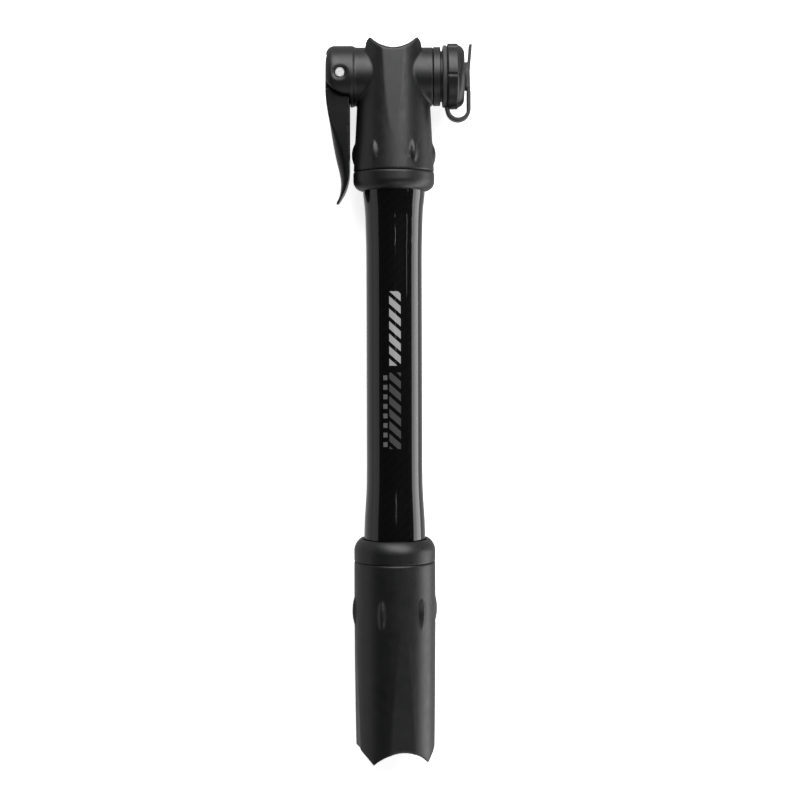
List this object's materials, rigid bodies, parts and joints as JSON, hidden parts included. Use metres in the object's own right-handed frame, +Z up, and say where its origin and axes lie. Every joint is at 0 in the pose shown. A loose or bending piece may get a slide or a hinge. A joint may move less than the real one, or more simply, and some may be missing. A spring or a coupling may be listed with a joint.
{
  "type": "bicycle mini pump",
  "caption": "Slim pocket tyre pump with a locking thumb lever, a screw-on valve nut with dust cap and a sliding grip sleeve.",
  "frame": {"origin": "on the pump's axis at the middle of the barrel's waist, where a frame clip holds it", "axes": "+Y along the pump towards the head, +X towards the valve nut, +Z up with the pump lying on its back"},
  "size_m": [0.0451, 0.2216, 0.0256],
  "materials": {
    "moulded_black": "satin moulded, fine grain",
    "lever_black": "satin moulded",
    "barrel_gloss": "clear gloss over fine woven black",
    "black_rubber": "matte",
    "bright_steel": "bright",
    "rod_aluminium": "drawn, satin",
    "grey_nylon": "satin"
  },
  "bodies": {
    "pump_body": {"head_body": "moulded_black", "head_skirt_ring": "moulded_black", "lever_pin": "bright_steel", "valve_sleeve": "moulded_black", "valve_grommet": "black_rubber", "barrel_tube": "barrel_gloss", "barrel_end_cap": "grey_nylon", "barrel_seal": "black_rubber", "check_valve": "black_rubber", "rod_bushing": "grey_nylon"},
    "lever": {"thumb_lever": "lever_black"},
    "plunger": {"plunger": "grey_nylon", "plunger_seals": "black_rubber", "valve_insert": "grey_nylon"},
    "collar_carrier": {"strap_ring": "black_rubber", "cap_strap": "black_rubber"},
    "collar": {"collar_nut": "moulded_black"},
    "cap": {"dust_cap": "black_rubber"},
    "piston": {"piston_head": "grey_nylon", "piston_seal": "black_rubber"},
    "handle": {"piston_rod": "rod_aluminium", "piston_clip": "bright_steel", "handle_shell": "moulded_black", "handle_mouth_ring": "moulded_black", "rod_bumper": "black_rubber", "rod_screw": "bright_steel"}
  },
  "joints": [
    {"name": "lever_swing", "type": "hinge", "parent": "pump_body", "child": "lever", "pos_m": [-0.0163, 0.0906, 0], "axis": [0, 0, -1], "range_deg": [0, 100]},
    {"name": "plunger_push", "type": "slide", "parent": "pump_body", "child": "plunger", "axis": [1, 0, 0], "range_m": [0, 0.00182]},
    {"name": "collar_advance", "type": "slide", "parent": "pump_body", "child": "collar_carrier", "axis": [1, 0, 0], "range_m": [0, 0.00601]},
    {"name": "collar_turn", "type": "hinge", "parent": "collar_carrier", "child": "collar", "pos_m": [0.018, 0.0906, 0], "axis": [1, 0, 0], "range_deg": [0, 1440]},
    {"name": "cap_swing", "type": "hinge", "parent": "collar_carrier", "child": "cap", "pos_m": [0.0199, 0.0804, 0], "axis": [0, 0, -1], "range_deg": [0, 95], "deforming": ["cap_strap"]},
    {"name": "handle_slide", "type": "slide", "parent": "pump_body", "child": "piston", "axis": [0, -1, 0], "range_m": [0, 0.158]},
    {"name": "handle_spin", "type": "hinge", "parent": "piston", "child": "handle", "pos_m": [0, 0, 0], "axis": [0, 1, 0], "continuous": true}
  ],
  "couplings": [
    {"joint": "plunger_push", "follows": "lever_swing", "m_per_rad": 0.0010371},
    {"joint": "collar_advance", "follows": "collar_turn", "m_per_rad": 0.00023873}
  ]
}
